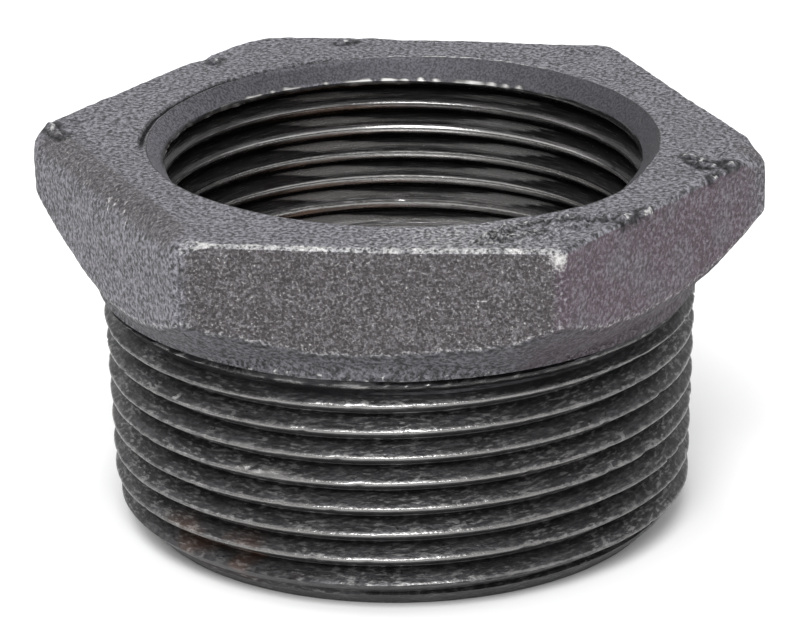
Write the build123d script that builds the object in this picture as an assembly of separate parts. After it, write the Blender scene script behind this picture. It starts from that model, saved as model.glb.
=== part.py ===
"""Hex reducing bushing, cast in malleable iron in one piece.

The outside of the shank has a 1-1/2 in taper pipe thread and the bore takes a 1-1/4 in one.
Z runs up the thread axis from the shank's end face, at Z = 0, to the top of the head. Two
corners of the hexagon lie on X. All lengths are in millimetres.
"""

from build123d import *
from math import atan, ceil, degrees, radians, tan
import os

# Overall sizes
overall_height = 31.7
across_flats = 51.4
shank_length = 20.3

# Outside thread: 60 degree flanks, tapering 1 in 16 on the diameter
threads_per_inch = 11.5
half_flank_angle = 30.0
diameter_taper = 1 / 16
major_diameter = 47.4
crest_flat = 0.25
runout_length = 3.2
end_face_diameter = 42.3
lead_in_angle = 45.0
thread_start_angle = 34.5

# Bore, at the crests of the inside thread
bore_diameter = 38.8
mouth_chamfer = 1.4
tail_chamfer = 0.6

# Cast head
underside_angle = 45.0
corner_radius = 0.8
top_edge_radius = 0.4
worn_edge_radius = 2.2
worn_edge_direction = 210.0

# Worked out from the sizes above
pitch = 25.4 / threads_per_inch
radius_taper = diameter_taper / 2
thread_depth = (pitch - crest_flat) / 2 / tan(radians(half_flank_angle))
gap_share = 0.4


def crest_radius(z):
    """Radius over the crests of the outside thread at height z."""
    return major_diameter / 2 + radius_taper * z


def root_radius(z):
    """Radius at the roots of the outside thread at height z."""
    return crest_radius(z) - thread_depth


def turned(*points):
    """Solid of revolution about Z from the corners (radius, z) of its half section."""
    corners = [(radius, 0, z) for radius, z in points]
    return revolve(make_face(Polyline(*corners, close=True)), Axis.Z)


def shank_blank():
    """Tapered shank before threading. It reaches up inside the head to the top."""
    top = overall_height
    return turned((0, 0), (crest_radius(0), 0), (crest_radius(shank_length), shank_length),
                  (crest_radius(shank_length), top), (0, top))


def groove_turn(foot):
    """One turn of the V groove between the crests, swept along a helix that starts at height foot.

    The V runs on past the crests, to stop just short of the turns above and below it.
    """
    start = root_radius(foot)
    helix = Helix(pitch, pitch, start, cone_angle=degrees(atan(radius_taper)))
    half_mouth = (pitch - crest_flat * gap_share) / 2
    mouth = start + half_mouth / tan(radians(half_flank_angle))
    section = make_face(Polyline((start, 0, 0), (mouth, 0, half_mouth), (mouth, 0, -half_mouth), close=True))
    return Rot(Z=thread_start_angle) * Pos(Z=foot) * sweep(section, path=helix, is_frenet=True)


def thread_groove():
    """All turns of the groove, from a pitch below the end face to inside the run-out collar."""
    turns = ceil(shank_length / pitch) + 1
    return [groove_turn((turn - 1) * pitch) for turn in range(turns)]


def runout_collar():
    """Cone that fills the last turns of the groove, where the thread dies out below the head."""
    low = shank_length - runout_length
    return turned((0, low), (root_radius(low), low), (crest_radius(shank_length), shank_length),
                  (crest_radius(shank_length), overall_height), (0, overall_height))


def lead_in():
    """Ring that is cut from the shank's end to leave its chamfer."""
    end_radius = end_face_diameter / 2
    reach = crest_radius(0) - end_radius + pitch
    height = reach / tan(radians(lead_in_angle))
    return turned((end_radius, 0), (end_radius + reach, height), (end_radius + reach, -pitch),
                  (end_radius, -pitch))


def rounding_strip():
    """Strip that is cut along the head's worn top edge, to leave it with a full radius."""
    radius = worn_edge_radius
    corner = (across_flats / 2, overall_height)
    waste = Rectangle(2 * radius, 2 * radius) - Pos(-radius, -radius) * Circle(radius)
    waste -= Pos(-radius, 0) * Rectangle(2 * radius, 2 * radius, align=(Align.MAX, Align.CENTER))
    waste -= Pos(0, -radius) * Rectangle(2 * radius, 2 * radius, align=(Align.CENTER, Align.MAX))
    strip = extrude(Plane.XZ * Pos(*corner) * waste, across_flats / 2, both=True)
    return Rot(Z=worn_edge_direction) * strip


def head():
    """Hexagonal head over a conical underside, with its cast edges rounded."""
    outline = RegularPolygon(across_flats / 2, 6, major_radius=False)
    outline = fillet(outline.vertices(), corner_radius)
    prism = extrude(Pos(0, 0, shank_length) * outline, overall_height - shank_length)
    neck = crest_radius(shank_length)
    spread = (overall_height - shank_length) * tan(radians(underside_angle))
    flare = turned((0, shank_length), (neck, shank_length), (neck + spread, overall_height),
                   (0, overall_height))
    casting = prism & flare
    casting = fillet(casting.faces().sort_by(Axis.Z)[-1].edges(), top_edge_radius)
    return casting - rounding_strip()


def bore():
    """Through bore with a chamfer at each end."""
    radius = bore_diameter / 2
    top = overall_height
    return turned((0, 0), (radius + tail_chamfer, 0), (radius, tail_chamfer),
                  (radius, top - mouth_chamfer), (radius + mouth_chamfer, top), (0, top))


shank = shank_blank() - thread_groove() + runout_collar() - lead_in()
hex_bushing = shank + head() - bore()

os.makedirs("parts", exist_ok=True)
export_step(hex_bushing, "parts/hex_bushing.step")
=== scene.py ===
import math
from collections import namedtuple

import bmesh
import bpy
from mathutils import Matrix, Vector, noise


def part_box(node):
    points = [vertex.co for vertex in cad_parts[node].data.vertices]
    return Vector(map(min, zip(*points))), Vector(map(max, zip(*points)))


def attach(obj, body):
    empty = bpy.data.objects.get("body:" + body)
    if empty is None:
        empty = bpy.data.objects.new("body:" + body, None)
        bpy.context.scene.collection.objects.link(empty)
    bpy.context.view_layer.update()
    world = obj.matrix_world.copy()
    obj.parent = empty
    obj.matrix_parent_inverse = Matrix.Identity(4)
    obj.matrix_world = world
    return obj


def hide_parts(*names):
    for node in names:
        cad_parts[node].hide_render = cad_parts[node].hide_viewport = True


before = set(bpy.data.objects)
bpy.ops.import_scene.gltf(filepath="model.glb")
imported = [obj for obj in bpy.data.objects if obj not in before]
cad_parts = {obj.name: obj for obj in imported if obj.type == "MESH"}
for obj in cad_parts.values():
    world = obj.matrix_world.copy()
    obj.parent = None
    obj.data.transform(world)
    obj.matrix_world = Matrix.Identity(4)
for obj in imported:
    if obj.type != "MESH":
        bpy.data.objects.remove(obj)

bl_info = {
    "name": "Hex Reducing Bushing",
    "version": (1, 0, 0),
    "blender": (4, 5, 0),
    "location": "View3D > Sidebar > Bushing",
    "description": "Models a threaded malleable iron bushing and the stage it stands on",
    "category": "Add Mesh",
}

# The casting is shaped in millimetres and scaled to metres at the end. A direction is in degrees round
# the axis, anticlockwise from +X as seen from above, and an angle is the same in radians.
MM = 0.001
NODE = "hex_bushing"
BODY = "root"
LOW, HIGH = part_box(NODE)
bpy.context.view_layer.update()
HEIGHT = HIGH.z / MM
ACROSS_FLATS = (HIGH.y - LOW.y) / MM

# The parts of the casting, which are also its material slots
HEAD, SHANK, BORE = range(3)

# Rows of the head's section, from the neck up over the flats, round the top edge and in to the bore
WALL_ROWS = 34
EDGE_ROWS = 5
TOP_ROWS = 18
HEAD_ROWS = WALL_ROWS + EDGE_ROWS + TOP_ROWS
# The last rows before the bore lie close together, this far apart
RIM_ROWS = 3
RIM_STEP = 0.23
# Rows up and down the flanks of each thread
SHANK_FLANK_ROWS = (4, 2)
BORE_FLANK_ROWS = (6, 2)
# How many columns go round each part
HEAD_COLUMNS = 600
SHANK_COLUMNS = 270
BORE_COLUMNS = 196

# How near each other vertices have to be to be welded, and how near a cut or a ring to count as on it
WELD_REACH = 0.005
CUT_REACH = 0.001
LEVEL_REACH = 0.01
SHARP_EDGE = math.radians(40)

# Both threads: 60 degrees between the flanks, tapering 1 in 32 on the radius
HALF_FLANK = math.radians(30)
RADIUS_TAPER = 1 / 32
CREST_FLAT = 0.25
ROOT_FLAT = 0.08
CREST_ROUND = 0.05
THREAD_START = math.radians(34.5)
BORE_START = math.radians(23)
# How far the bore lies off the axis, towards +X
BORE_SHIFT = 0.5

# Each flat of the head, by direction: how far it stands out, how much it swells in the middle and how
# much more at one end, how many degrees it is turned, and the radius of its top edge
FLATS = {
    30: (0.35, 0.0, 0.0, 0.0, 0.5),
    90: (0.1, 0.3, 0.15, 0.0, 0.6),
    150: (0.7, 0.4, 0.0, 0.0, 0.8),
    210: (-0.05, 0.1, 0.0, 2.3, 2.3),
    270: (0.0, 0.0, 0.0, 0.0, 0.35),
    330: (0.65, 0.0, 0.0, 1.6, 0.45),
}
FRONT_FLAT = 270
# The flats within this many degrees of an angle are the ones that can be nearest there
FLAT_REACH = 75
# A flat's swell is worked out no further from its middle than this many half widths
SWELL_LIMIT = 1.15
# How fast two flats draw apart on the way from their corner
CORNER_SPREAD = 1.15
# How softly each corner between two flats is rounded
CORNERS = {0: 0.6, 60: 1.0, 120: 3.0, 180: 1.5, 240: 0.9, 300: 1.0}
# The radius of the top edge where it is worn at the corner on the right
WORN_CORNER_EDGE = 1.9
# How high the top edge is lifted by the right front corner
TOP_LIFT = 0.35

# The cone under the head: how fast it spreads with height, and where it starts late, as swells
UNDERSIDE_SLOPE = 1.12
UNDERSIDE_LATE = ((1.2, 0, 70), (1.1, 186, 58), (1.2, 268, 34, 10), (0.4, 328, 25))
JOINT_GAP = 0.08
# The mouth of the bore is worn out of round, as swells, and has a lip outside its chamfer
MOUTH_WEAR = ((0.85, 323, 26), (0.2, 85, 60), (-0.45, 250, 50))
MOUTH_LIP = 0.14
# A fine groove in the top runs beside the mouth on the left
RIM_GROOVE_DEPTH = 0.22
# The casting swells over the neck on its left: how far, and where that starts, is fullest and ends
LEFT_SWELL = 0.3
LEFT_SWELL_HEIGHTS = (15.8, 20.6, 26.5)

# Where the outside thread dies out below the head, and the heights that its mesh is cut at for detail
RUNOUT_LENGTH = 2.4
RUNOUT_CUTS = (18.5, 18.7, 19.15, 19.35, 19.45, 19.55, 20.0, 20.15)
GROOVE_HEIGHT = 18.92
GROOVE_DEPTH = 0.14
SEAM_HEIGHT = 19.45
CRACK_HEIGHT = 20.03
CRACK_TOP = 20.2

# Places round the casting, each a direction and how many degrees to either side it reaches. A third
# number is how many degrees to either side it is at its fullest.
WORN_CORNER = (0, 9)
LEFT_SIDE = (186, 52)
LIFTED_TOP = (306, 34)
# The crests of the outside thread that get a painted highlight, facing the front
CREST_HIGHLIGHT = (275, 60)
RAGGED_COLLAR = (262, 75)
TORN_CRACK = (236, 20)
FRONT_COLLAR = (275, 78, 50)
TORN_NECK = (265, 80)
RUBBED_CORNER = (301.5, 3)
# The front of the top, lightened with painted light specks
PAINTED_LIGHT_TOP = (288, 55)
RUBBED_RIM = (80, 55)
RIM_GROOVE = (152, 46, 32)
MAUVE_SKIN = (328, 36, 24)
BROWN_EDGE = (214, 32)
PITTED_EDGE = (210, 36)
BORE_RUST = (125, 42)
PALE_MOUTH = (190, 75)
BURRED_MOUTH = (125, 85, 60)
BRIGHT_BURR = (105, 60)
# The two corners of the front flat that are rubbed bare, as swells
CORNER_RUBS = ((0.06, 241.5, 8), (0.14, 302, 8))
# The back of the bore, where its flanks and crests get painted reflections and highlights: the direction,
# and degrees to either side
BORE_BACK = 94
BORE_BACK_REACH = 38

# Flaws in the top of the head: direction, distance from the axis, size along, size across, height
TOP_FLAWS = (
    (302, 24.9, 4.2, 1.5, 0.26), (313, 24.9, 3.2, 1.0, 0.2), (322, 26.2, 1.3, 0.5, -0.25),
    (353, 25.6, 3.2, 1.4, -0.16), (347, 27.2, 0.8, 0.5, -0.25), (181, 28.2, 2.2, 1.5, -0.2),
    (176, 26.9, 1.2, 0.8, -0.18), (133, 27.0, 2.2, 0.8, -0.15), (60, 26.4, 1.8, 0.7, -0.12),
)
# Raised ragged lines on the top of the head, as directions and distances from the axis
FLOW_LINES = (
    ((292, 25.6), (295.7, 24.3), (300, 23.1), (305, 22.9), (309, 23.9), (315, 25.5)),
    ((295, 25.4), (298, 25.3), (302.6, 25.2)),
    ((354, 23.9), (353.3, 25.4), (352.6, 27.0)), ((351.4, 24.5), (350.9, 26.3)),
    ((317.8, 26.7), (320, 26.6)), ((323.5, 26.5), (325, 26.4)),
    ((345, 27.1), (346.5, 27.2)), ((351, 27.6), (352, 27.8)),
    ((177.5, 28.8), (180, 28.3), (182.5, 27.6)), ((133.5, 25.9), (135, 25.4)),
    ((106, 25.4), (108, 25.3)),
)
# Pits in the sides of the head: direction, height, radius and depth
SIDE_PITS = (
    (315.6, 20.95, 0.42, 0.5), (324, 27.0, 0.5, 0.15), (221, 26.5, 0.5, 0.12), (33, 27, 0.7, 0.2),
    (97, 25.5, 0.9, 0.2), (148, 28.0, 0.6, 0.15),
)
# Brown stains and rubbed places on the outside thread: direction, height, size along, size across
SHANK_STAINS = ((238, 3.5, 9, 3.2), (265, 9.6, 1.1, 0.5), (60, 8, 8, 4), (150, 13, 6, 3))
SHANK_RUBS = ((250, 11.7, 3.6, 0.75), (229, 16.0, 0.5, 0.3), (262, 4.0, 2.0, 0.5), (95, 9.0, 2.5, 0.6))
SHANK_RUB_DEPTH = 0.16

# Noise that goes round the casting is read at these radii, so that it doesn't change with the shape
MOUTH_NOISE, BORE_NOISE, RIM_NOISE, SHANK_NOISE, HEAD_NOISE = 9, 20, 22, 24, 25
# Added to where noise is read, to have several kinds that don't match
NO_SHIFT = Vector((0, 0, 0))
SHIFT_A = Vector((31.7, 12.9, 5.3))
SHIFT_B = Vector((-8.1, 44.2, 19.6))


class BushingSettings(bpy.types.PropertyGroup):
    """Sizes and colours that a user would change."""

    shank_length: bpy.props.FloatProperty(
        name="Shank length", description="From the end face to the head's underside",
        default=20.3 * MM, unit="LENGTH")
    major_diameter: bpy.props.FloatProperty(
        name="Major diameter", description="Over the outside crests at the end face",
        default=47.4 * MM, unit="LENGTH")
    end_face_diameter: bpy.props.FloatProperty(
        name="End face diameter", description="Inside the lead-in chamfer",
        default=42.3 * MM, unit="LENGTH")
    pitch: bpy.props.FloatProperty(
        name="Pitch", description="From crest to crest, in both threads",
        default=25.4 / 11.5 * MM, unit="LENGTH")
    bore_diameter: bpy.props.FloatProperty(
        name="Bore diameter", description="Over the inside crests",
        default=38.8 * MM, unit="LENGTH")
    mouth_chamfer: bpy.props.FloatProperty(
        name="Mouth chamfer", description="At the top of the bore",
        default=1.4 * MM, unit="LENGTH")
    tail_chamfer: bpy.props.FloatProperty(
        name="Tail chamfer", description="At the bottom of the bore",
        default=0.6 * MM, unit="LENGTH")
    skin_colour: bpy.props.FloatVectorProperty(
        name="Cast skin", description="Colour of the cast skin", subtype="COLOR", size=3,
        default=(0.149, 0.146, 0.165), min=0, max=1)
    soiled_colour: bpy.props.FloatVectorProperty(
        name="Soiled skin", description="Colour of the gritty front flat and the worn top edge",
        subtype="COLOR", size=3, default=(0.071, 0.062, 0.066), min=0, max=1)
    mauve_colour: bpy.props.FloatVectorProperty(
        name="Mauve skin", description="Tint of the skin on the right", subtype="COLOR", size=3,
        default=(0.09, 0.056, 0.077), min=0, max=1)
    cut_colour: bpy.props.FloatVectorProperty(
        name="Cut thread", description="Colour of the outside thread", subtype="COLOR", size=3,
        default=(0.056, 0.055, 0.058), min=0, max=1)
    bore_colour: bpy.props.FloatVectorProperty(
        name="Bore thread", description="Colour of the inside thread", subtype="COLOR", size=3,
        default=(0.05, 0.048, 0.048), min=0, max=1)
    # Worn metal is also the colour of the painted highlights, glints and reflections
    worn_and_highlight_colour: bpy.props.FloatVectorProperty(
        name="Worn metal", description="Colour where edges are rubbed bare", subtype="COLOR", size=3,
        default=(0.7, 0.69, 0.68), min=0, max=1)
    rust_colour: bpy.props.FloatVectorProperty(
        name="Rust", description="Colour of the rust in the bore and the stains on the outside thread",
        subtype="COLOR", size=3, default=(0.17, 0.075, 0.032), min=0, max=1)
    floor_colour: bpy.props.FloatVectorProperty(
        name="Floor", description="Colour of the floor", subtype="COLOR", size=3,
        default=(0.9, 0.9, 0.9), min=0, max=1)


# ---------------------------------------------------------------- measuring

# The head's outline at an angle: its radius, how far away the nearest corner is, the radius of its top
# edge and the direction of its flat
Outline = namedtuple("Outline", "radius from_corner edge flat")
# How rubbed, how soiled and how dark a point of the head is, each from 0 to 1. Its rubbed value also holds
# painted light on the front of the top, and its darkness painted shade under the head and in the groove by
# the mouth.
Look = namedtuple("Look", "rub soil dark")


def polar(point):
    return math.hypot(point.x, point.y), math.atan2(point.y, point.x)


def at(radius, angle, z):
    return Vector((radius * math.cos(angle), radius * math.sin(angle), z))


def grain(point, size, shift=NO_SHIFT):
    """Even noise between -1 and 1, in lumps of about a size."""
    return noise.noise(point / size + shift)


def smooth(value, low, high):
    """0 below low and 1 above high, with a smooth rise between. Low may be the larger."""
    share = min(max((value - low) / (high - low), 0), 1)
    return share * share * (3 - 2 * share)


def turn_between(angle, direction):
    """Degrees from a direction to an angle in radians, from -180 to 180."""
    return (math.degrees(angle) - direction + 180) % 360 - 180


def bump(angle, direction, reach, full=0):
    """A swell of height 1 within full degrees of a direction, gone at reach degrees to either side."""
    return smooth(abs(turn_between(angle, direction)), reach, full)


def swells(angle, places):
    """The sum of several swells, each given as a height and its place."""
    return sum(height * bump(angle, *place) for height, *place in places)


def soft_min(a, b, softness):
    """The smaller of a and b, with the corner where they cross rounded off."""
    gap = max(softness - abs(a - b), 0) / softness
    return min(a, b) - gap * gap * softness / 4


def spot(angle, z, radius, mark):
    """How deep inside an oval mark a point lies, from 0 at its border to 1."""
    direction, height, along, across = mark
    x = math.radians(turn_between(angle, direction)) * radius / along
    y = (z - height) / across
    return smooth(math.hypot(x, y), 1, 0.3)


def flat_radius(angle, direction):
    """Distance from the axis to one flat of the head."""
    shift, crown, lean, turned, _ = FLATS[direction]
    turn = math.radians(turn_between(angle, direction + turned))
    along = max(-SWELL_LIMIT, min(SWELL_LIMIT, math.tan(turn) * math.sqrt(3)))
    offset = shift + crown * (1 - along * along) + lean * along
    return (ACROSS_FLATS / 2 + offset) / math.cos(turn)


def outline_at(angle):
    """The head's outline at an angle, from the nearer two of its flats."""
    reach = {direction: flat_radius(angle, direction)
             for direction in FLATS if abs(turn_between(angle, direction)) < FLAT_REACH}
    own, other = sorted(reach, key=reach.get)[:2]
    corner = (own + other) // 2 if abs(own - other) < 180 else 0
    from_corner = (reach[other] - reach[own]) / CORNER_SPREAD
    own_edge, other_edge = FLATS[own][-1], FLATS[other][-1]
    edge = own_edge + (other_edge - own_edge) / 2 * smooth(from_corner, 2.4, 0)
    edge = max(edge, WORN_CORNER_EDGE * bump(angle, *WORN_CORNER))
    return Outline(soft_min(reach[own], reach[other], CORNERS[corner]), from_corner, edge, own)


def left_swell(angle, z):
    """How far the casting swells over the neck on its left side."""
    low, middle, high = LEFT_SWELL_HEIGHTS
    rise = smooth(z, low, middle) if z < middle else 1 - smooth(z, middle, high)
    return LEFT_SWELL * rise * bump(angle, *LEFT_SIDE)


def mouth_wear(angle):
    """How far the bore's mouth is worn past its chamfer, most of all beside the flow mark."""
    return swells(angle, MOUTH_WEAR) + 0.09 * grain(at(MOUTH_NOISE, angle, 0), 1)


# ---------------------------------------------------------------- making and cutting parts

def part_of(bm, part):
    """The vertices, edges and faces of one part."""
    layer = bm.verts.layers.int["part"]
    verts = [vert for vert in bm.verts if vert[layer] == part]
    edges = [edge for edge in bm.edges if all(vert[layer] == part for vert in edge.verts)]
    faces = [face for face in bm.faces if all(vert[layer] == part for vert in face.verts)]
    return verts, edges, faces


def paint(bm, vert, **shares):
    """Store values at a vertex for the finishes to read."""
    for name, share in shares.items():
        vert[bm.verts.layers.float[name]] = share


def start_section(bm, part, points):
    """A line of vertices over the X axis, numbered as rows of a part."""
    verts = []
    for row, (radius, z) in enumerate(points):
        vert = bm.verts.new((radius, 0, z))
        vert[bm.verts.layers.int["part"]] = part
        vert[bm.verts.layers.int["row"]] = row
        verts.append(vert)
    return verts + [bm.edges.new(pair) for pair in zip(verts, verts[1:])]


def thread_depth(pitch):
    return (pitch - CREST_FLAT - ROOT_FLAT) / 2 / math.tan(HALF_FLANK)


def thread_section(crest, pitch, up_rows, down_rows, inside):
    """Half section of one pitch, from below one crest to below the next, as (radius, z)."""
    sign = 1 if inside else -1
    depth = thread_depth(pitch)
    flank = depth * math.tan(HALF_FLANK)
    half = CREST_FLAT / 2
    points = [(crest + sign * CREST_ROUND, -half), (crest, -half / 2), (crest, half / 2)]
    for row in range(up_rows + 1):
        share = row / up_rows
        points.append((crest + sign * (CREST_ROUND + (depth - CREST_ROUND) * share), half + flank * share))
    for row in range(down_rows + 1):
        share = 1 - row / down_rows
        points.append((crest + sign * (CREST_ROUND + (depth - CREST_ROUND) * share),
                       pitch - half - flank * share))
    return points


def spin_turn(bm, part, section, pitch, columns):
    """Spin a section a pitch tall through one turn of a right-hand thread, from below the end face."""
    section = [(radius, z - 1.5 * pitch) for radius, z in section]
    bmesh.ops.spin(bm, geom=start_section(bm, part, section), cent=(0, 0, 0), axis=(0, 0, 1),
                   dvec=(0, 0, pitch / columns), angle=math.tau, steps=columns)


def spin_head(bm):
    """Spin one sixth of the head, with its rows a millimetre apart until they are put in place."""
    section = [(ACROSS_FLATS / 2, row) for row in range(HEAD_ROWS + 1)]
    bmesh.ops.spin(bm, geom=start_section(bm, HEAD, section), cent=(0, 0, 0), axis=(0, 0, 1),
                   angle=math.radians(60), steps=HEAD_COLUMNS // 6)


def copies(bm, part, count, move):
    """Copy a part until it is there count times, each moved by its number's matrix, and weld them all."""
    verts, edges, faces = part_of(bm, part)
    for number in range(1, count):
        copied = bmesh.ops.duplicate(bm, geom=verts + edges + faces)["geom"]
        bmesh.ops.transform(bm, matrix=move(number),
                            verts=[piece for piece in copied if isinstance(piece, bmesh.types.BMVert)])
    bmesh.ops.remove_doubles(bm, verts=part_of(bm, part)[0], dist=WELD_REACH)


def stack_turns(bm, part, pitch, height, start):
    """Stack enough turns of a thread to pass both ends of the part, and turn it to its start."""
    copies(bm, part, math.ceil(height / pitch) + 3,
           lambda number: Matrix.Translation((0, 0, pitch * number)))
    bmesh.ops.rotate(bm, cent=(0, 0, 0), matrix=Matrix.Rotation(start, 3, "Z"), verts=part_of(bm, part)[0])


def cut_level(bm, part, z, **clear):
    """Cut through a part at a height, and take away what is over or under the cut where asked."""
    verts, edges, faces = part_of(bm, part)
    bmesh.ops.bisect_plane(bm, geom=verts + edges + faces, dist=CUT_REACH, plane_co=(0, 0, z),
                           plane_no=(0, 0, 1), **clear)


def cut_ends(bm, part, low, high):
    """Cut a part off below low and above high."""
    cut_level(bm, part, low, clear_inner=True)
    cut_level(bm, part, high, clear_outer=True)


def fill_ring(bm, z, part):
    """Close the flat gap between the two loops that end at height z."""
    loops = [edge for edge in bm.edges
             if edge.is_boundary and all(abs(vert.co.z - z) < LEVEL_REACH for vert in edge.verts)]
    filled = bmesh.ops.triangle_fill(bm, edges=loops, use_beauty=True, use_dissolve=False, normal=(0, 0, 1))
    for face in filled["geom"]:
        if isinstance(face, bmesh.types.BMFace):
            face.material_index = part


# ---------------------------------------------------------------- outside thread

def worn_thread(angle, z, top, down, depth):
    """Radius of the outside thread, with its chips and rubbed places, and how rubbed it is, with a painted
    highlight on the crests that face the front.

    Top is the radius over the crests. Down is 0 on a crest and 1 in a root.
    """
    chip = smooth(grain(at(SHANK_NOISE, angle, z), 0.9, SHIFT_A), 0.32, 0.7)
    wear = 0.05 + 0.05 * grain(at(SHANK_NOISE, angle, z), 3)
    radius = top - down * depth
    radius -= smooth(down, 0.3, 0) * (wear + 0.22 * chip)
    radius += 0.015 * grain(at(SHANK_NOISE, angle, z * 3), 1.6, SHIFT_B)
    # The crests are rubbed, with a painted highlight where they face the front
    rub = smooth(down, 0.26, 0.03) * (0.72 + 0.28 * bump(angle, *CREST_HIGHLIGHT))
    scuffed = smooth(grain(at(SHANK_NOISE, angle, z * 2), 0.5), -0.5, 0.1)
    for mark in SHANK_RUBS:
        near = spot(angle, z, top, mark)
        if near:
            radius = min(radius, top - SHANK_RUB_DEPTH * near)
            rub = max(rub, 1.6 * near * scuffed * smooth(down, 0.85, 0.3))
    return radius, rub


def crack_at(angle, z):
    """How deep the crack is that runs round the shank just below the head."""
    torn = bump(angle, *TORN_CRACK)
    wander = (0.06 + 0.15 * torn) * grain(at(SHANK_NOISE, angle, 0), 0.7)
    away = abs(z - CRACK_HEIGHT + 0.12 * torn + wander)
    crack = smooth(away, 0.2 + 0.3 * torn, 0.07) * (z < CRACK_TOP)
    return crack * (0.45 + 0.4 * torn)


def torn_collar(angle, z):
    """The groove in the front of the collar and its bare torn lips, each from 0 to 1."""
    front = bump(angle, *FRONT_COLLAR)
    groove = smooth(abs(z - GROOVE_HEIGHT), 0.5, 0.3) * front
    chips = smooth(grain(at(SHANK_NOISE, angle, z * 3), 0.5), -0.05, 0.3) * smooth(z, 19.5, 19.6)
    seam = smooth(abs(z - SEAM_HEIGHT), 0.2, 0.08)
    seam *= smooth(grain(at(SHANK_NOISE, angle, 7), 0.5), -0.6, -0.2)
    return groove, max(seam, chips) * front


def shape_shank(bm, settings):
    """Give the shank its taper, wear, lead-in chamfer and the run-out below the head."""
    pitch, length = settings.pitch / MM, settings.shank_length / MM
    crest, end_radius = settings.major_diameter / MM / 2, settings.end_face_diameter / MM / 2
    depth = thread_depth(pitch)
    stack_turns(bm, SHANK, pitch, length, THREAD_START)
    for z in RUNOUT_CUTS:
        cut_level(bm, SHANK, z)
    for vert in part_of(bm, SHANK)[0]:
        radius, angle = polar(vert.co)
        z = vert.co.z
        top = crest + RADIUS_TAPER * z
        radius, rub = worn_thread(angle, z, top, (crest - radius) / depth, depth)
        swell = left_swell(angle, z)
        ragged = smooth(z, 17.5, 19.5) * (0.4 + 0.6 * bump(angle, *RAGGED_COLLAR))
        collar = top - depth * (length - z) / RUNOUT_LENGTH
        collar += ragged * 0.16 * grain(at(SHANK_NOISE, angle, z * 2.2), 0.8, SHIFT_B)
        collar += swell * 0.9
        radius = max(radius + swell * 0.55, min(collar, top + swell))
        crack = crack_at(angle, z)
        groove, lips = torn_collar(angle, z)
        radius -= GROOVE_DEPTH * groove + crack
        lead = end_radius + z + 0.03 * grain(at(BORE_NOISE, angle, z * 4), 2)
        rub = max(rub * (1 - groove), lips) * smooth(lead - radius, 0, 0.25) * smooth(crack, 0.15, 0)
        under = smooth(collar - radius, -0.1, 0.02) * ragged
        soil = max(smooth(crack, 0.03, 0.15), max(under, 0.9 * groove) * (1 - lips))
        stain = max(spot(angle, z, top, mark) for mark in SHANK_STAINS)
        down = max(0, (top - radius) / depth) if lead > radius + 0.01 else 0.45
        paint(bm, vert, rub=rub, soil=soil, tint=stain, depth=down)
        radius = min(radius, lead)
        if z > length - 0.02:
            radius = top + swell
        vert.co = at(radius, angle, z)
    cut_ends(bm, SHANK, 0, length)


# ---------------------------------------------------------------- bore

def bore_wear_and_reflection(angle, step, down):
    """How bright the inside thread is: worn crests, brighter at the back as a painted highlight, a painted
    reflection in a wedge on each flank at the back, and a painted highlight glowing just over the crests
    there.

    Step is how far the point is over the crest below it. Down is 0 on a crest and 1 in a root.
    """
    aside = abs(turn_between(angle, BORE_BACK)) / BORE_BACK_REACH
    crests = smooth(down, 0.2, 0) * (0.75 + 0.25 * smooth(aside, 1.6, 0.9))
    low = 0.42 + 0.5 * smooth(aside, 0.6, 1)
    high = 0.75 + 0.25 * smooth(aside, 0.2, 0.6)
    wedge = smooth(step, low - 0.1, low + 0.1) * smooth(step, high + 0.1, high - 0.1)
    wedge *= (aside < 1) * (0.75 + 0.25 * smooth(aside, 0, 0.5))
    glow = smooth(step, 0.5, 0.05) * smooth(aside, 1.15, 0.4) * 0.85
    return max(crests, wedge, glow)


def shape_bore(bm, settings):
    """Give the bore its taper, wear and the chamfers at its ends."""
    pitch, crest = settings.pitch / MM, settings.bore_diameter / MM / 2
    mouth_chamfer, tail_chamfer = settings.mouth_chamfer / MM, settings.tail_chamfer / MM
    depth = thread_depth(pitch)
    stack_turns(bm, BORE, pitch, HEIGHT, BORE_START)
    for vert in part_of(bm, BORE)[0]:
        radius, angle = polar(vert.co)
        z = vert.co.z
        down = (radius - crest) / depth
        radius = max(crest, radius - RADIUS_TAPER * (HEIGHT - z) * smooth(down, 0, 0.2))
        chip = smooth(grain(at(BORE_NOISE, angle, z), 1.1, SHIFT_B), 0.35, 0.7)
        radius += smooth(down, 0.25, 0) * (0.03 + 0.1 * chip)
        mouth = crest + z - (HEIGHT - mouth_chamfer) + mouth_wear(angle)
        above = mouth - crest + 0.12 * grain(at(BORE_NOISE, angle, 0), 0.7)
        radius = crest + (radius - crest) * smooth(above, 0, -0.7)
        radius = max(radius, mouth, crest + tail_chamfer - z)
        matte = smooth(above, -0.12, 0.04)
        step = (z - math.degrees(angle - BORE_START) / 360 * pitch + pitch / 2) % pitch
        # Worn crests, and painted highlights and reflections at the back, fading towards the mouth
        rub = bore_wear_and_reflection(angle, step, down) * (1 - matte) * (1 - 0.4 * smooth(z, 25, 28))
        burr = smooth(abs(above + 0.05), 0.42, 0.15)
        burr *= smooth(grain(at(BORE_NOISE, angle, 3), 0.5), -0.3, 0.1)
        burr *= (0.75 + 0.25 * bump(angle, *BRIGHT_BURR)) * bump(angle, *BURRED_MOUTH)
        rust = smooth(step, 1.05, 1.3) * bump(angle, *BORE_RUST)
        paint(bm, vert, rub=max(rub, burr), soil=matte, tint=max(rust, matte * bump(angle, *PALE_MOUTH)),
              depth=min(max((radius - crest) / depth, 0), 1))
        vert.co = at(radius, angle, z) + Vector((BORE_SHIFT, 0, 0))
    cut_ends(bm, BORE, 0, HEIGHT)


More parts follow.
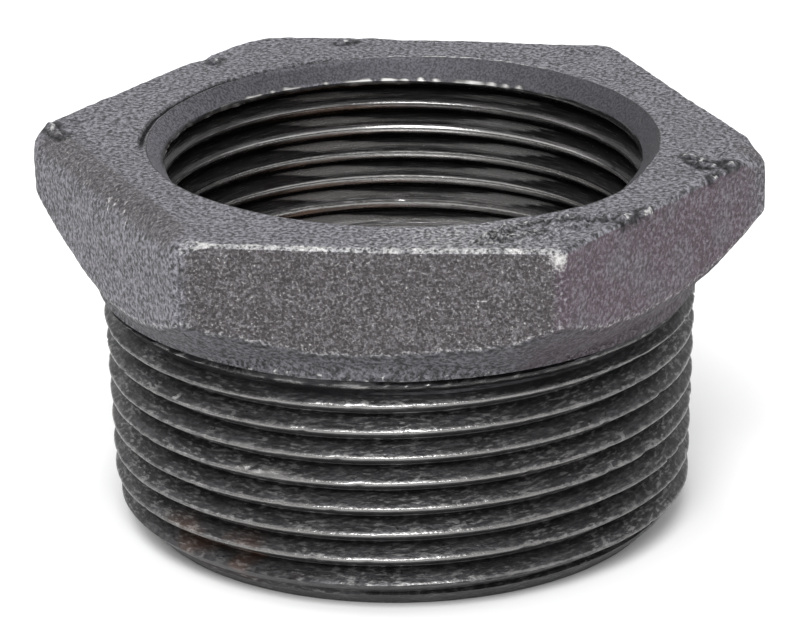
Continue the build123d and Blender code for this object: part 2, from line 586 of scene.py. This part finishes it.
# ---------------------------------------------------------------- head

def corner_rub(angle, outline):
    """How bare the corner between two flats is rubbed."""
    return smooth(outline.from_corner, 1.3, 0.2) * (swells(angle, CORNER_RUBS) + 0.1)


def wall_point(row, angle, outline, neck, foot):
    """A point of the cone under the head or of the flats over it, and its look."""
    z = foot + (HEIGHT - outline.edge - foot) * row / WALL_ROWS
    swell = left_swell(angle, z)
    cone = neck + (z - foot - swells(angle, UNDERSIDE_LATE)) * UNDERSIDE_SLOPE + swell
    softness = 0.4 + 0.7 * smooth(outline.from_corner, 1, 12)
    radius = max(soft_min(cone, outline.radius, softness), neck + swell)
    ragged = 0.25 * grain(at(HEAD_NOISE, angle, 0), 1.1) + 0.15 * grain(at(HEAD_NOISE, angle, 5), 0.5)
    past_border = cone - outline.radius - 0.1 + ragged
    on_flat = smooth(past_border, -0.15, 0.35)
    torn = smooth(z, foot + 0.8, foot + 0.2) * bump(angle, *TORN_NECK)
    rub = max(corner_rub(angle, outline) * on_flat,
              0.36 * smooth(abs(past_border - 0.2), 0.5, 0.1),
              0.62 * bump(angle, *RUBBED_CORNER) * smooth(z, 29.2, 31),
              0.6 * torn * smooth(grain(at(SHANK_NOISE, angle, z * 3), 0.7), 0.05, 0.45))
    soil = (outline.flat == FRONT_FLAT) * on_flat * smooth(outline.from_corner, 0.3, 0.9)
    # The cone under the head is painted darker as shade, and a thin dark line runs just below the flats
    dark = max(0.42 * (1 - on_flat), 0.75 * smooth(abs(past_border + 0.35), 0.3, 0.05))
    lift = TOP_LIFT * bump(angle, *LIFTED_TOP) * (row / WALL_ROWS) ** 3
    return at(radius, angle, z + lift), Look(rub, soil, dark)


def edge_point(row, angle, outline):
    """A point of the rounded top edge, and its look."""
    turn = math.radians(90) * row / EDGE_ROWS
    over = math.sin(turn)
    front = (outline.flat == FRONT_FLAT) * (0.44 + 0.2 * grain(at(HEAD_NOISE, angle, 0), 1.1))
    rub = max(front, 0.7 * corner_rub(angle, outline), 0.15)
    soil = 0.8 * smooth(outline.edge, 1.2, 2) * smooth(over, 0.25, 0.6)
    radius = outline.radius - outline.edge + outline.edge * math.cos(turn)
    lift = TOP_LIFT * bump(angle, *LIFTED_TOP)
    return at(radius, angle, HEIGHT - outline.edge + outline.edge * over + lift), Look(rub, soil, 0)


def top_point(row, angle, outline, mouth):
    """A point of the top face, and its look."""
    rows_left = TOP_ROWS - row
    share = min(1, row / (TOP_ROWS - RIM_ROWS))
    outer = outline.radius - outline.edge
    rim = mouth + mouth_wear(angle) + MOUTH_LIP + BORE_SHIFT * math.cos(angle)
    inner = rim + RIM_ROWS * RIM_STEP
    radius = outer + (inner - outer) * share if share < 1 else rim + rows_left * RIM_STEP
    burr = (rows_left == 1) * smooth(grain(at(RIM_NOISE, angle, 0), 0.6), -0.3, 0.2)
    # Rubbed along the front edge, with painted light specks over the front of the top and bare burrs round
    # the rim
    rub = max(0.3 * (outline.flat == FRONT_FLAT) * smooth(share, 0.06, 0),
              0.335 * bump(angle, *PAINTED_LIGHT_TOP),
              0.75 * burr * bump(angle, *RUBBED_RIM))
    soil = 0.5 * smooth(outline.edge, 1.2, 2) * smooth(share, 0.18, 0)
    # The groove beside the mouth is sunk, and painted dark as its shade
    groove = (rows_left in (1, 2)) * bump(angle, *RIM_GROOVE)
    lift = TOP_LIFT * bump(angle, *LIFTED_TOP) * (1 - share) ** 2
    return at(radius, angle, HEIGHT + lift - RIM_GROOVE_DEPTH * groove), Look(rub, soil, groove)


def from_line(point, line):
    """Distance over the top from a line given as directions and distances from the axis."""
    flat = Vector((point.x, point.y, 0))
    spots = [at(distance, math.radians(direction), 0) for direction, distance in line]
    nearest = math.inf
    for start, end in zip(spots, spots[1:]):
        share = min(max((flat - start).dot(end - start) / (end - start).length_squared, 0), 1)
        nearest = min(nearest, (flat - start.lerp(end, share)).length)
    return nearest


def marks_at(point):
    """How bright and how dark a point near the top is by its flow lines and its brown edge: painted glints
    along the lines and on the edge, dark bands beside the lines and mottling on the edge.
    """
    if point.z < HEIGHT - 2.4:
        return 0, 0
    ragged = 0.3 * grain(point, 0.8)
    speckle = smooth(grain(point, 0.45, SHIFT_A), -0.1, 0.3)
    rub = dark = 0
    for line in FLOW_LINES if point.z > HEIGHT - 0.6 else ():
        away = from_line(point, line) + ragged
        rub = max(rub, 0.6 * speckle * smooth(away, 0.45, 0.15))
        dark = max(dark, 0.85 * smooth(abs(away - 0.55), 0.4, 0.12))
    brown = bump(polar(point)[1], *BROWN_EDGE)
    brown *= smooth(point.z, 29.4, 30) * smooth(HEIGHT - point.z, -0.1, 0.2)
    glint = smooth(grain(point, 0.55, SHIFT_B), 0.3, 0.5)
    mottle = smooth(grain(point, 1.3), -0.1, 0.4)
    return max(rub, 0.55 * glint * brown), max(dark, 0.3 * brown * mottle)


def flaw_relief(point, flaw):
    """Height that one flaw of the top adds at a point. A raised one has a rim, and a sunken one is flat."""
    direction, distance, along, across, rise = flaw
    radius, angle = polar(point)
    x = math.radians(turn_between(angle, direction)) * distance / along
    y = (radius - distance) / across
    out = math.hypot(x, y) + 0.35 * grain(point, 0.9, SHIFT_B)
    if rise < 0:
        near = smooth(out, 1.05, 0.7)
    else:
        near = 0.4 * smooth(out, 1.05, 0.8) + smooth(abs(out - 0.9), 0.3, 0)
    return near * rise * (1 + 0.8 * grain(point, 0.6))


def cast_relief(point):
    """Height of the rough cast skin at a point."""
    radius, angle = polar(point)
    height = 0.09 * grain(point, 7) + 0.04 * grain(point, 2.3, SHIFT_A)
    height += 0.05 * grain(point, 0.85) + 0.03 * grain(point, 0.5, SHIFT_B)
    pitted = bump(angle, *PITTED_EDGE) * smooth(point.z, 29.2, 30.2) * smooth(radius, 23, 25)
    height += 0.07 * pitted * grain(point, 0.8, SHIFT_A)
    if point.z > HEIGHT - 1:
        height += 0.3 * smooth(min(from_line(point, line) for line in FLOW_LINES), 0.7, 0)
        return height + sum(flaw_relief(point, flaw) for flaw in TOP_FLAWS)
    for direction, z, size, depth in SIDE_PITS:
        x = math.radians(turn_between(angle, direction)) * radius
        height -= depth * smooth(math.hypot(x, point.z - z) / size, 1, 0.3)
    return height


def shape_head(bm, settings):
    """Bring the spun rows of the head in to its flats, paint them and roughen the skin."""
    copies(bm, HEAD, 6, lambda number: Matrix.Rotation(math.radians(60) * number, 4, "Z"))
    foot = settings.shank_length / MM
    neck = settings.major_diameter / MM / 2 + RADIUS_TAPER * foot + JOINT_GAP
    mouth = settings.bore_diameter / MM / 2 + settings.mouth_chamfer / MM
    row_of = bm.verts.layers.int["row"]
    verts, _, faces = part_of(bm, HEAD)
    for vert in verts:
        row, angle = vert[row_of], polar(vert.co)[1]
        outline = outline_at(angle)
        if row <= WALL_ROWS:
            vert.co, look = wall_point(row, angle, outline, neck, foot)
        elif row <= WALL_ROWS + EDGE_ROWS:
            vert.co, look = edge_point(row - WALL_ROWS, angle, outline)
        else:
            vert.co, look = top_point(row - WALL_ROWS - EDGE_ROWS, angle, outline, mouth)
        rub, dark = marks_at(vert.co)
        paint(bm, vert, rub=min(max(look.rub, rub), 1), soil=min(look.soil, 1),
              depth=min(max(look.dark, dark), 1), tint=(row <= WALL_ROWS) * bump(angle, *MAUVE_SKIN))
    bmesh.ops.recalc_face_normals(bm, faces=faces)
    bm.normal_update()
    for vert in verts:
        fade = smooth(vert[row_of], 0, 2) * smooth(vert[row_of], HEAD_ROWS, HEAD_ROWS - 2)
        vert.co += vert.normal * cast_relief(vert.co) * fade


# ---------------------------------------------------------------- casting

def spun_parts(settings):
    """A bmesh that holds one turn of each thread and a sixth of the head."""
    bm = bmesh.new()
    for name in ("part", "row"):
        bm.verts.layers.int.new(name)
    # Depth is how deep in its thread a vertex lies, but on the head it is how dark it is, which holds
    # painted shade under the head and in the groove by the mouth among other dark marks. The rubbed value
    # also holds painted highlights, glints and reflections. Tint is mauve on the head, a stain on the
    # shank, and in the bore rust below the mouth and paleness in it.
    for name in ("depth", "rub", "soil", "tint"):
        bm.verts.layers.float.new(name)
    pitch = settings.pitch / MM
    shank_section = thread_section(settings.major_diameter / MM / 2, pitch, *SHANK_FLANK_ROWS, inside=False)
    bore_section = thread_section(settings.bore_diameter / MM / 2, pitch, *BORE_FLANK_ROWS, inside=True)
    spin_turn(bm, SHANK, shank_section, pitch, SHANK_COLUMNS)
    spin_turn(bm, BORE, bore_section, pitch, BORE_COLUMNS)
    spin_head(bm)
    return bm


def bushing_mesh(settings):
    """The whole casting as one closed mesh, in metres."""
    bm = spun_parts(settings)
    shape_head(bm, settings)
    shape_shank(bm, settings)
    shape_bore(bm, settings)
    for part in (SHANK, BORE):
        for face in part_of(bm, part)[2]:
            face.material_index = part
    fill_ring(bm, 0, SHANK)
    fill_ring(bm, settings.shank_length / MM, SHANK)
    fill_ring(bm, HEIGHT, HEAD)
    if not all(edge.is_manifold for edge in bm.edges):
        raise RuntimeError("the casting's mesh has open edges")
    bmesh.ops.recalc_face_normals(bm, faces=bm.faces)
    for face in bm.faces:
        face.smooth = True
    for edge in bm.edges:
        edge.smooth = edge.calc_face_angle() < SHARP_EDGE
    bmesh.ops.scale(bm, vec=(MM, MM, MM), verts=bm.verts)
    mesh = bpy.data.meshes.new(NODE)
    bm.to_mesh(mesh)
    bm.free()
    return mesh


# ---------------------------------------------------------------- finishes

# Inputs and output of a Mix node that mixes colours, which share their names with its other ones
MIX_A, MIX_B, MIX_RESULT = 6, 7, 2
PIT_COLOUR = (0.01, 0.01, 0.011)


def rgba(colour):
    """A colour as a node input: a link as it is, and three numbers with alpha 1."""
    return colour if isinstance(colour, bpy.types.NodeSocket) else (*colour, 1)


def shade(colour, factor):
    return tuple(part * factor for part in colour)


class Finish:
    """A material, with short ways to add the nodes that every finish here is made of."""

    def __init__(self, name, **constants):
        self.material = bpy.data.materials.new(name)
        self.material.use_nodes = True
        self.tree = self.material.node_tree
        self.shader = self.tree.nodes["Principled BSDF"]
        for socket, value in constants.items():
            self.shader.inputs[socket.replace("_", " ")].default_value = value

    def add(self, kind, inputs, output=0, **settings):
        """Add a node, set or link its inputs by name or number, and return one of its outputs."""
        node = self.tree.nodes.new(kind)
        for name, value in settings.items():
            setattr(node, name, value)
        for key, value in inputs.items():
            if isinstance(value, bpy.types.NodeSocket):
                self.tree.links.new(value, node.inputs[key])
            else:
                node.inputs[key].default_value = value
        return node.outputs[output]

    def place(self):
        return self.add("ShaderNodeTexCoord", {}, output="Object")

    def painted(self, *names):
        """Values that the mesh carries at its vertices."""
        return [self.add("ShaderNodeAttribute", {}, output="Fac", attribute_name=name) for name in names]

    def plus(self, a, b):
        return self.add("ShaderNodeMath", {0: a, 1: b}, operation="ADD")

    def times(self, a, b):
        return self.add("ShaderNodeMath", {0: a, 1: b}, operation="MULTIPLY")

    def most(self, a, b):
        return self.add("ShaderNodeMath", {0: a, 1: b}, operation="MAXIMUM")

    def noise(self, place, scale, detail=2.0, roughness=0.5):
        return self.add("ShaderNodeTexNoise", {"Vector": place, "Scale": scale, "Detail": detail,
                                               "Roughness": roughness})

    def scratches(self, place, along, across, detail=2.0, roughness=0.5):
        """Noise that changes slowly round the axis and quickly over the section."""
        flat = self.add("ShaderNodeVectorMath", {0: place, 1: (1, 1, 0)}, operation="MULTIPLY")
        length = self.add("ShaderNodeVectorMath", {0: flat}, output="Value", operation="LENGTH")
        way = self.add("ShaderNodeVectorMath", {0: flat}, operation="NORMALIZE")
        way = self.add("ShaderNodeVectorMath", {0: way, "Scale": along}, operation="SCALE")
        ways = self.add("ShaderNodeSeparateXYZ", {0: way}).node.outputs
        height = self.add("ShaderNodeSeparateXYZ", {0: place}, output="Z")
        over = self.times(self.plus(length, height), across)
        wound = self.add("ShaderNodeCombineXYZ", {"X": ways["X"], "Y": ways["Y"], "Z": over})
        return self.noise(wound, 1.0, detail, roughness)

    def span(self, value, low, high, start=0.0, end=1.0):
        """Carry low to start and high to end, with a smooth rise between."""
        inputs = {"Value": value, "From Min": low, "From Max": high, "To Min": start, "To Max": end}
        return self.add("ShaderNodeMapRange", inputs, interpolation_type="SMOOTHSTEP")

    def blend(self, share, a, b):
        """Mix two colours."""
        return self.add("ShaderNodeMix", {0: share, MIX_A: rgba(a), MIX_B: rgba(b)}, output=MIX_RESULT,
                        data_type="RGBA")

    def bump(self, height, distance, below=None):
        """Relief a distance high in metres, over what is below it."""
        inputs = {"Height": height, "Distance": distance, "Strength": 1.0}
        if below is not None:
            inputs["Normal"] = below
        return self.add("ShaderNodeBump", inputs)

    def wire(self, **sockets):
        """Link outputs to the shader's own sockets, and return the finished material."""
        for name, output in sockets.items():
            self.tree.links.new(output, self.shader.inputs[name.replace("_", " ")])
        return self.material


def cast_skin(settings):
    """Grey cast skin: dimpled, browner and grittier on the front flat, bare where it is rubbed, and with
    painted glints.
    """
    finish = Finish("cast_skin", Metallic=0.15, IOR=1.5)
    place = finish.place()
    rub, soil, tint, dark = finish.painted("rub", "soil", "tint", "depth")
    grey, soiled, worn = settings.skin_colour, settings.soiled_colour, settings.worn_and_highlight_colour
    dimples = finish.noise(place, 2900, detail=3, roughness=0.6)
    grit = finish.noise(place, 4200, roughness=0.65)
    clouds = finish.noise(place, 260)
    skin = finish.blend(finish.span(clouds, 0.35, 0.65), shade(grey, 0.9), shade(grey, 1.1))
    mauve = finish.times(tint, finish.span(clouds, 0.2, 0.6, 0.3, 1))
    skin = finish.blend(mauve, skin, settings.mauve_colour)
    skin = finish.blend(soil, skin, soiled)
    # The dimples are shaded in the colour: painted shade in their low spots and painted light on their
    # tops, less on the front flat and the mauve skin
    dimpled = finish.times(finish.span(soil, 0, 1, 1, 0.35), finish.span(tint, 0, 1, 1, 0.55))
    hollows = finish.times(finish.span(dimples, 0.54, 0.35, 0, 0.95), dimpled)
    heights = finish.times(finish.span(dimples, 0.48, 0.64, 0, 0.75), dimpled)
    skin = finish.blend(hollows, skin, shade(grey, 0.12))
    skin = finish.blend(heights, skin, shade(grey, 2.2))
    gritty = finish.span(soil, 0, 1, 0.2, 0.75)
    dark_grit = finish.times(finish.span(grit, 0.48, 0.36), gritty)
    pale_grit = finish.times(finish.span(grit, 0.52, 0.66), finish.times(gritty, 0.6))
    skin = finish.blend(dark_grit, skin, shade(soiled, 0.3))
    skin = finish.blend(pale_grit, skin, shade(worn, 0.5))
    # Painted shade under the head and in the groove by the mouth, with the other dark marks, which also
    # lose their shine
    skin = finish.blend(dark, skin, shade(grey, 0.08))
    # Painted glints: sparse specks of worn colour, most on the front flat
    glints = finish.times(finish.span(grit, 0.66, 0.76), finish.plus(finish.times(soil, 0.5), 0.2))
    # Bare metal where rubbed, which also holds painted light on the front of the top and by the flow lines,
    # and the painted glints
    bare = finish.plus(rub, finish.times(finish.plus(grit, dimples), 0.55))
    bare = finish.most(finish.span(bare, 0.8, 1.25), glints)
    return finish.wire(Base_Color=finish.blend(bare, skin, worn),
                       Roughness=finish.span(bare, 0, 1, 0.62, 0.4),
                       Specular_IOR_Level=finish.span(dark, 0.45, 1, 0.5, 0.05),
                       Normal=finish.bump(grit, 0.00016, finish.bump(dimples, 0.0007)))


def cut_thread(settings):
    """Turned metal, scratched along its cut, bright on the crests from wear and a painted highlight at the
    front, and dark in the roots.
    """
    finish = Finish("cut_thread", Metallic=0.85)
    place = finish.place()
    rub, depth, soil, tint = finish.painted("rub", "depth", "soil", "tint")
    cut, worn = settings.cut_colour, settings.worn_and_highlight_colour
    scratches = finish.scratches(place, 30, 11500, detail=3, roughness=0.6)
    streaks = finish.scratches(place, 7, 4500)
    pits = finish.noise(place, 2600, roughness=0.6)
    clouds = finish.noise(place, 220)
    metal = finish.blend(finish.span(streaks, 0.35, 0.65), shade(cut, 0.75), shade(cut, 1.25))
    bright = finish.times(finish.span(scratches, 0.5, 0.64), finish.span(clouds, 0.38, 0.62, 0.25, 0.8))
    metal = finish.blend(bright, metal, shade(worn, 0.36))
    metal = finish.blend(finish.span(scratches, 0.46, 0.36, 0, 0.6), metal, shade(cut, 0.4))
    metal = finish.blend(finish.span(depth, 0.75, 1.0, 0, 0.25), metal, shade(cut, 0.3))
    metal = finish.blend(finish.span(pits, 0.66, 0.72, 0, 0.8), metal, PIT_COLOUR)
    stains = finish.times(tint, finish.span(clouds, 0.4, 0.6, 0, 0.3))
    metal = finish.blend(stains, metal, settings.rust_colour)
    # Crests turn pale from wear and from the painted highlight on those facing the front
    bare = finish.span(finish.plus(rub, finish.times(finish.plus(scratches, pits), 0.5)), 0.98, 1.5)
    colour = finish.blend(bare, metal, shade(worn, 0.33))
    colour = finish.blend(finish.span(rub, 1.0, 1.5), colour, shade(worn, 0.75))
    colour = finish.blend(finish.times(soil, 0.85), colour, shade(settings.skin_colour, 0.14))
    streaked = finish.plus(bare, finish.times(streaks, -0.3))
    return finish.wire(Base_Color=colour, Roughness=finish.span(streaked, -0.3, 0.9, 0.46, 0.24),
                       Normal=finish.bump(pits, 0.00005, finish.bump(scratches, 0.00004)))


def bore_thread(settings):
    """Oily dark metal in the bore, pale on worn crests and on painted reflections at the back, with rust
    above each root and a matte chamfer, paler on the left.
    """
    finish = Finish("bore_thread", Metallic=0.85)
    place = finish.place()
    rub, depth, soil, tint = finish.painted("rub", "depth", "soil", "tint")
    oily, grey = settings.bore_colour, settings.skin_colour
    scratches = finish.scratches(place, 10, 8000, detail=3, roughness=0.6)
    grit = finish.noise(place, 5200, roughness=0.6)
    clouds = finish.noise(place, 90)
    metal = finish.blend(finish.span(scratches, 0.4, 0.62), shade(oily, 0.7), shade(oily, 1.6))
    metal = finish.blend(finish.span(depth, 0.5, 1, 0, 0.7), metal, shade(oily, 0.2))
    below_mouth = finish.times(tint, finish.span(soil, 0.5, 0))
    rusty = finish.times(below_mouth, finish.span(clouds, 0.36, 0.56, 0.2, 0.9))
    metal = finish.blend(rusty, metal, settings.rust_colour)
    # Worn crests, burrs and the painted reflections at the back turn pale
    bare = finish.span(finish.plus(rub, finish.times(scratches, 0.4)), 0.55, 1.2)
    metal = finish.blend(bare, metal, shade(settings.worn_and_highlight_colour, 0.75))
    matte = finish.blend(finish.span(grit, 0.35, 0.65), shade(grey, 0.3), shade(grey, 0.62))
    pale = finish.blend(finish.span(grit, 0.38, 0.6), shade(grey, 0.5), shade(grey, 1.35))
    matte = finish.blend(tint, matte, pale)
    colour = finish.blend(finish.times(soil, finish.span(rub, 0.6, 0.2)), metal, matte)
    rough = finish.most(finish.times(soil, 0.62), finish.span(scratches, 0.3, 0.7, 0.16, 0.28))
    return finish.wire(Base_Color=colour, Roughness=rough,
                       Normal=finish.bump(grit, 0.00002, finish.bump(scratches, 0.00001)))


def plain_floor(settings):
    """Matte paper, very faintly mottled."""
    finish = Finish("floor", Roughness=0.9)
    mottle = finish.noise(finish.place(), 40)
    return finish.wire(Base_Color=finish.blend(mottle, shade(settings.floor_colour, 0.99),
                                               settings.floor_colour))


# ---------------------------------------------------------------- stage

# The camera's direction and height over the level, its roll, its distance in millimetres and its focal
# length in pixels of a render this wide, then its sensor in millimetres and its far clip in metres
EYE_TURN = math.radians(7.5)
EYE_HEIGHT = math.radians(21.32)
EYE_ROLL = math.radians(0.96)
EYE_DISTANCE = 415.2
EYE_FOCAL_PIXELS = 5043.75
RENDER_WIDTH = 800
SENSOR = 36
CLIP_END = 10
# The height in millimetres that the camera and the lights face
AIM_HEIGHT = 15.9

# Soft boxes, all this many metres away: direction, elevation, width and height in metres, and power
LIGHT_DISTANCE = 0.7
LIGHTS = {
    "key": (-90, 48, 0.36, 0.26, 4.4),
    "overhead": (100, 82, 0.22, 0.1, 1.0),
    "left": (175, 38, 0.3, 0.4, 0.6),
    "right": (5, 38, 0.3, 0.4, 0.3),
}
WORLD_STRENGTH = 0.75
FLOOR_HALF_WIDTH = 1.5


def add_camera():
    """The camera, which faces the middle of the bushing."""
    forward = Vector((-math.sin(EYE_TURN) * math.cos(EYE_HEIGHT), math.cos(EYE_TURN) * math.cos(EYE_HEIGHT),
                      -math.sin(EYE_HEIGHT)))
    level = Vector((math.cos(EYE_TURN), math.sin(EYE_TURN), 0))
    upright = level.cross(forward)
    right = level * math.cos(EYE_ROLL) - upright * math.sin(EYE_ROLL)
    up = level * math.sin(EYE_ROLL) + upright * math.cos(EYE_ROLL)
    eye = Vector((0, 0, AIM_HEIGHT)) - forward * EYE_DISTANCE
    data = bpy.data.cameras.new("camera")
    data.sensor_width = SENSOR
    data.lens = EYE_FOCAL_PIXELS * SENSOR / RENDER_WIDTH
    data.clip_end = CLIP_END
    camera = bpy.data.objects.new("camera", data)
    turn = Matrix((right, up, -forward)).transposed().to_4x4()
    camera.matrix_world = Matrix.Translation(eye * MM) @ turn
    bpy.context.scene.collection.objects.link(camera)
    bpy.context.scene.camera = camera


def add_light(name, direction, elevation, width, height, power):
    """A soft box that faces the middle of the bushing from a direction and an elevation in degrees."""
    data = bpy.data.lights.new(name, "AREA")
    data.shape = "RECTANGLE"
    data.size, data.size_y = width, height
    data.energy = power
    turn, rise = math.radians(direction), math.radians(elevation)
    way = Vector((math.cos(turn) * math.cos(rise), math.sin(turn) * math.cos(rise), math.sin(rise)))
    light = bpy.data.objects.new(name, data)
    light.location = way * LIGHT_DISTANCE + Vector((0, 0, AIM_HEIGHT * MM))
    light.rotation_euler = way.to_track_quat("Z", "Y").to_euler()
    bpy.context.scene.collection.objects.link(light)


def add_floor(settings):
    bm = bmesh.new()
    bmesh.ops.create_grid(bm, x_segments=1, y_segments=1, size=FLOOR_HALF_WIDTH)
    mesh = bpy.data.meshes.new("floor")
    bm.to_mesh(mesh)
    bm.free()
    mesh.materials.append(plain_floor(settings))
    floor = bpy.data.objects.new("floor", mesh)
    bpy.context.scene.collection.objects.link(floor)


def add_world():
    world = bpy.data.worlds.new("studio")
    world.use_nodes = True
    background = world.node_tree.nodes["Background"]
    background.inputs["Color"].default_value = (1, 1, 1, 1)
    background.inputs["Strength"].default_value = WORLD_STRENGTH
    bpy.context.scene.world = world


# ---------------------------------------------------------------- operators

class BUSHING_OT_add_casting(bpy.types.Operator):
    """Model the threaded casting and give it its finishes"""

    bl_idname = "bushing.add_casting"
    bl_label = "Add Casting"

    def execute(self, context):
        settings = context.scene.bushing
        mesh = bushing_mesh(settings)
        for material in (cast_skin(settings), cut_thread(settings), bore_thread(settings)):
            mesh.materials.append(material)
        casting = bpy.data.objects.new("bushing_casting", mesh)
        context.scene.collection.objects.link(casting)
        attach(casting, BODY)
        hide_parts(NODE)
        return {"FINISHED"}


class BUSHING_OT_add_stage(bpy.types.Operator):
    """Lay the floor, and set the lights and the camera"""

    bl_idname = "bushing.add_stage"
    bl_label = "Add Stage"

    def execute(self, context):
        add_floor(context.scene.bushing)
        add_world()
        for name, light in LIGHTS.items():
            add_light(name, *light)
        add_camera()
        context.scene.view_settings.view_transform = "Standard"
        return {"FINISHED"}


class BUSHING_PT_panel(bpy.types.Panel):
    """Lists the settings and the steps that make the bushing"""

    bl_idname = "BUSHING_PT_panel"
    bl_label = "Hex Bushing"
    bl_space_type = "VIEW_3D"
    bl_region_type = "UI"
    bl_category = "Bushing"

    def draw(self, context):
        settings = context.scene.bushing
        for name in settings.__annotations__:
            self.layout.prop(settings, name)
        self.layout.operator("bushing.add_casting")
        self.layout.operator("bushing.add_stage")


CLASSES = (BushingSettings, BUSHING_OT_add_casting, BUSHING_OT_add_stage, BUSHING_PT_panel)


def register():
    for cls in CLASSES:
        bpy.utils.register_class(cls)
    bpy.types.Scene.bushing = bpy.props.PointerProperty(type=BushingSettings)


def unregister():
    del bpy.types.Scene.bushing
    for cls in reversed(CLASSES):
        bpy.utils.unregister_class(cls)


def main():
    register()
    bpy.ops.bushing.add_casting()
    bpy.ops.bushing.add_stage()


if __name__ == "__main__":
    main()
